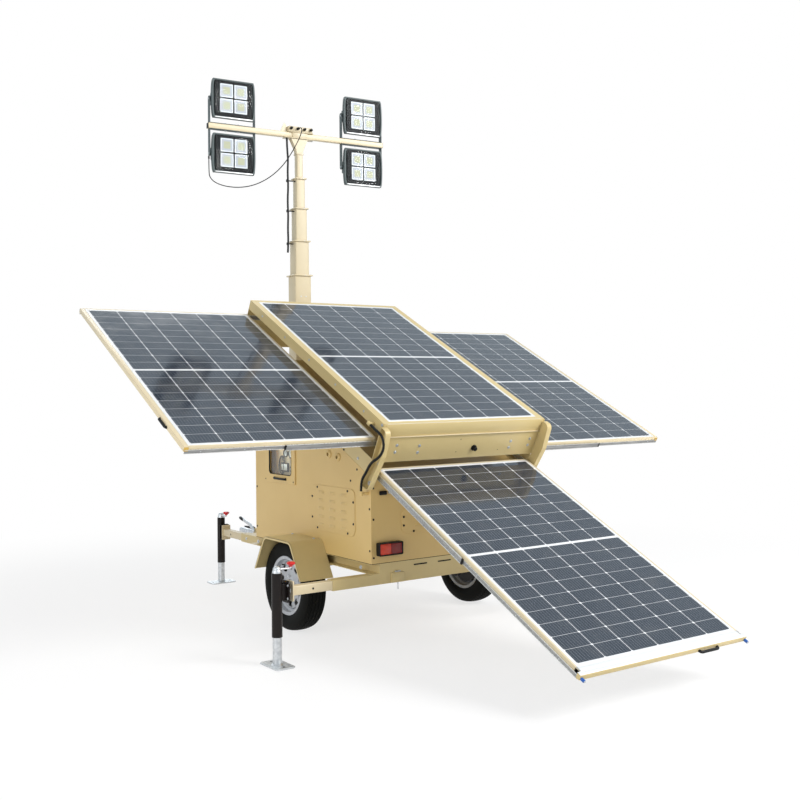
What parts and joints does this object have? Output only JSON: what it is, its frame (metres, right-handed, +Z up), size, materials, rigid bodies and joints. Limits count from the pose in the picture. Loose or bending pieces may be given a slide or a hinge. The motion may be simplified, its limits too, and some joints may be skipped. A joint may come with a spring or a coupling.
{
  "type": "mobile light tower",
  "caption": "Towed light tower: telescopic mast with tilting floodlights, pull-out solar panels on a sloping cabinet, and swivel jacks on sliding outriggers.",
  "frame": {"origin": "on the ground below the middle of the tower's overall outline", "axes": "+X to the trailer's right, +Y forward to the drawbar, +Z up"},
  "size_m": [3.6326, 4.4008, 3.736],
  "materials": {
    "sand_paint": "satin",
    "frame_paint": "satin",
    "black_paint": "satin",
    "dark_housing": "matte",
    "wheel_silver": "satin",
    "zinc": "satin",
    "slide_steel": "satin",
    "tyre_rubber": "matte",
    "solar_glass": "gloss",
    "window_glass": "gloss",
    "lamp_red": "gloss",
    "panel_grey": "satin",
    "battery_case": "matte",
    "cable_black": "satin"
  },
  "bodies": {
    "trailer": {"axle": "black_paint", "battery_bank": "battery_case", "cabinet_end_walls": "sand_paint", "cabinet_floor": "sand_paint", "cabinet_roof": "sand_paint", "cabinet_side_walls": "sand_paint", "chassis_frame": "sand_paint", "conduit": "cable_black", "control_board": "panel_grey", "coupling_head": "zinc", "drawbar": "sand_paint", "handbrake_lever": "zinc", "louvre_covers": "sand_paint", "mast_bracket": "sand_paint", "mudguards": "sand_paint", "solar_module_top": "solar_glass", "tail_lamps": "lamp_red", "tray_arms": "sand_paint", "tray_end_plate": "sand_paint", "tray_frame": "sand_paint"},
    "wheel_left": {"tyre_left": "tyre_rubber", "wheel_left": "wheel_silver"},
    "wheel_right": {"tyre_right": "tyre_rubber", "wheel_right": "wheel_silver"},
    "mast_base": {"mast_base": "sand_paint"},
    "mast_stage_1": {"mast_stage_1": "sand_paint"},
    "mast_stage_2": {"mast_stage_2": "sand_paint"},
    "mast_stage_3": {"mast_stage_3": "sand_paint"},
    "mast_head": {"mast_stage_4": "sand_paint", "mast_head": "sand_paint", "crossbar": "sand_paint", "floodlight_brackets": "dark_housing", "head_cables": "cable_black"},
    "control_door": {"control_door": "sand_paint", "control_pane": "window_glass"},
    "outrigger_rear_left": {"outrigger_beam_rear_left": "sand_paint"},
    "jack_rear_left": {"jack_tube_rear_left": "black_paint"},
    "leg_rear_left": {"jack_leg_rear_left": "zinc"},
    "outrigger_rear_right": {"outrigger_beam_rear_right": "sand_paint"},
    "jack_rear_right": {"jack_tube_rear_right": "black_paint"},
    "leg_rear_right": {"jack_leg_rear_right": "zinc"},
    "outrigger_front_left": {"outrigger_beam_front_left": "sand_paint"},
    "jack_front_left": {"jack_tube_front_left": "black_paint"},
    "leg_front_left": {"jack_leg_front_left": "zinc"},
    "outrigger_front_right": {"outrigger_beam_front_right": "sand_paint"},
    "jack_front_right": {"jack_tube_front_right": "black_paint"},
    "leg_front_right": {"jack_leg_front_right": "zinc"},
    "floodlight_upper_left": {"floodlight_upper_left": "dark_housing"},
    "floodlight_upper_right": {"floodlight_upper_right": "dark_housing"},
    "floodlight_lower_left": {"floodlight_lower_left": "dark_housing"},
    "floodlight_lower_right": {"floodlight_lower_right": "dark_housing"},
    "drawer_left": {"drawer_left": "frame_paint", "solar_module_left": "solar_glass"},
    "slides_left": {"drawer_slides_left": "slide_steel"},
    "drawer_right": {"drawer_right": "frame_paint", "solar_module_right": "solar_glass"},
    "slides_right": {"drawer_slides_right": "slide_steel"},
    "drawer_rear": {"drawer_rear": "frame_paint", "solar_module_rear": "solar_glass"},
    "slides_rear": {"drawer_slides_rear": "slide_steel"}
  },
  "joints": [
    {"name": "wheel_left_spin", "type": "hinge", "parent": "trailer", "child": "wheel_left", "pos_m": [-0.702, 0.139, 0.277], "axis": [1, 0, 0], "continuous": true},
    {"name": "wheel_right_spin", "type": "hinge", "parent": "trailer", "child": "wheel_right", "pos_m": [0.702, 0.139, 0.277], "axis": [1, 0, 0], "continuous": true},
    {"name": "outrigger_rear_left_slide", "type": "slide", "parent": "trailer", "child": "outrigger_rear_left", "axis": [-1, 0, 0], "range_m": [-0.24, 0]},
    {"name": "jack_rear_left_swing", "type": "hinge", "parent": "outrigger_rear_left", "child": "jack_rear_left", "pos_m": [-1.115, -0.531, 0.395], "axis": [1, 0, 0], "range_deg": [0, 90]},
    {"name": "jack_rear_left_leg", "type": "slide", "parent": "jack_rear_left", "child": "leg_rear_left", "axis": [0, 0, 1], "range_m": [-0.12, 0.14]},
    {"name": "outrigger_rear_right_slide", "type": "slide", "parent": "trailer", "child": "outrigger_rear_right", "axis": [1, 0, 0], "range_m": [-0.24, 0]},
    {"name": "jack_rear_right_swing", "type": "hinge", "parent": "outrigger_rear_right", "child": "jack_rear_right", "pos_m": [1.115, -0.531, 0.395], "axis": [1, 0, 0], "range_deg": [0, 90]},
    {"name": "jack_rear_right_leg", "type": "slide", "parent": "jack_rear_right", "child": "leg_rear_right", "axis": [0, 0, 1], "range_m": [-0.12, 0.14]},
    {"name": "outrigger_front_left_slide", "type": "slide", "parent": "trailer", "child": "outrigger_front_left", "axis": [0, 1, 0], "range_m": [-0.29, 0]},
    {"name": "jack_front_left_swing", "type": "hinge", "parent": "outrigger_front_left", "child": "jack_front_left", "pos_m": [-0.385, 1.719, 0.395], "axis": [0, 1, 0], "range_deg": [0, 90]},
    {"name": "jack_front_left_leg", "type": "slide", "parent": "jack_front_left", "child": "leg_front_left", "axis": [0, 0, 1], "range_m": [-0.12, 0.14]},
    {"name": "outrigger_front_right_slide", "type": "slide", "parent": "trailer", "child": "outrigger_front_right", "axis": [0, 1, 0], "range_m": [-0.29, 0]},
    {"name": "jack_front_right_swing", "type": "hinge", "parent": "outrigger_front_right", "child": "jack_front_right", "pos_m": [0.385, 1.719, 0.395], "axis": [0, -1, 0], "range_deg": [0, 90]},
    {"name": "jack_front_right_leg", "type": "slide", "parent": "jack_front_right", "child": "leg_front_right", "axis": [0, 0, 1], "range_m": [-0.12, 0.14]},
    {"name": "mast_turn", "type": "hinge", "parent": "trailer", "child": "mast_base", "pos_m": [0, 1.236, 0.4373], "axis": [0, 0, 1], "range_deg": [-170, 170]},
    {"name": "mast_stage_1_lift", "type": "slide", "parent": "mast_base", "child": "mast_stage_1", "axis": [0, 0, 1], "range_m": [-0.14, 1.2]},
    {"name": "mast_stage_2_lift", "type": "slide", "parent": "mast_stage_1", "child": "mast_stage_2", "axis": [0, 0, 1], "range_m": [-0.14, 1.2]},
    {"name": "mast_stage_3_lift", "type": "slide", "parent": "mast_stage_2", "child": "mast_stage_3", "axis": [0, 0, 1], "range_m": [-0.14, 1.2]},
    {"name": "mast_stage_4_lift", "type": "slide", "parent": "mast_stage_3", "child": "mast_head", "axis": [0, 0, 1], "range_m": [-0.14, 1.2]},
    {"name": "floodlight_upper_left_tilt", "type": "hinge", "parent": "mast_head", "child": "floodlight_upper_left", "pos_m": [-0.53254, 1.28728, 3.594], "axis": [0.9954, -0.0958, 0], "range_deg": [-90, 90]},
    {"name": "floodlight_upper_right_tilt", "type": "hinge", "parent": "mast_head", "child": "floodlight_upper_right", "pos_m": [0.53254, 1.18472, 3.594], "axis": [0.9954, -0.0958, 0], "range_deg": [-90, 90]},
    {"name": "floodlight_lower_left_tilt", "type": "hinge", "parent": "mast_head", "child": "floodlight_lower_left", "pos_m": [-0.53254, 1.28728, 3.198], "axis": [0.9954, -0.0958, 0], "range_deg": [-90, 90]},
    {"name": "floodlight_lower_right_tilt", "type": "hinge", "parent": "mast_head", "child": "floodlight_lower_right", "pos_m": [0.53254, 1.18472, 3.198], "axis": [0.9954, -0.0958, 0], "range_deg": [-90, 90]},
    {"name": "drawer_left_slide", "type": "slide", "parent": "trailer", "child": "drawer_left", "axis": [-1, 0, 0], "range_m": [-1.206, 0]},
    {"name": "drawer_left_mid_slide", "type": "slide", "parent": "trailer", "child": "slides_left", "axis": [-1, 0, 0], "range_m": [-0.603, 0]},
    {"name": "drawer_right_slide", "type": "slide", "parent": "trailer", "child": "drawer_right", "axis": [1, 0, 0], "range_m": [-1.206, 0]},
    {"name": "drawer_right_mid_slide", "type": "slide", "parent": "trailer", "child": "slides_right", "axis": [1, 0, 0], "range_m": [-0.603, 0]},
    {"name": "drawer_rear_slide", "type": "slide", "parent": "trailer", "child": "drawer_rear", "axis": [0, -0.8896, -0.4568], "range_m": [-1.7624, 0]},
    {"name": "drawer_rear_mid_slide", "type": "slide", "parent": "trailer", "child": "slides_rear", "axis": [0, -0.8896, -0.4568], "range_m": [-0.8812, 0]},
    {"name": "control_door_hinge", "type": "hinge", "parent": "trailer", "child": "control_door", "pos_m": [-0.6063, 0.49, 1.212], "axis": [0, 1, 0], "range_deg": [0, 100]}
  ],
  "couplings": [
    {"joint": "drawer_left_mid_slide", "follows": "drawer_left_slide", "ratio": 0.5},
    {"joint": "drawer_right_mid_slide", "follows": "drawer_right_slide", "ratio": 0.5},
    {"joint": "drawer_rear_mid_slide", "follows": "drawer_rear_slide", "ratio": 0.5},
    {"joint": "mast_stage_2_lift", "follows": "mast_stage_1_lift", "ratio": 1},
    {"joint": "mast_stage_3_lift", "follows": "mast_stage_1_lift", "ratio": 1},
    {"joint": "mast_stage_4_lift", "follows": "mast_stage_1_lift", "ratio": 1}
  ]
}
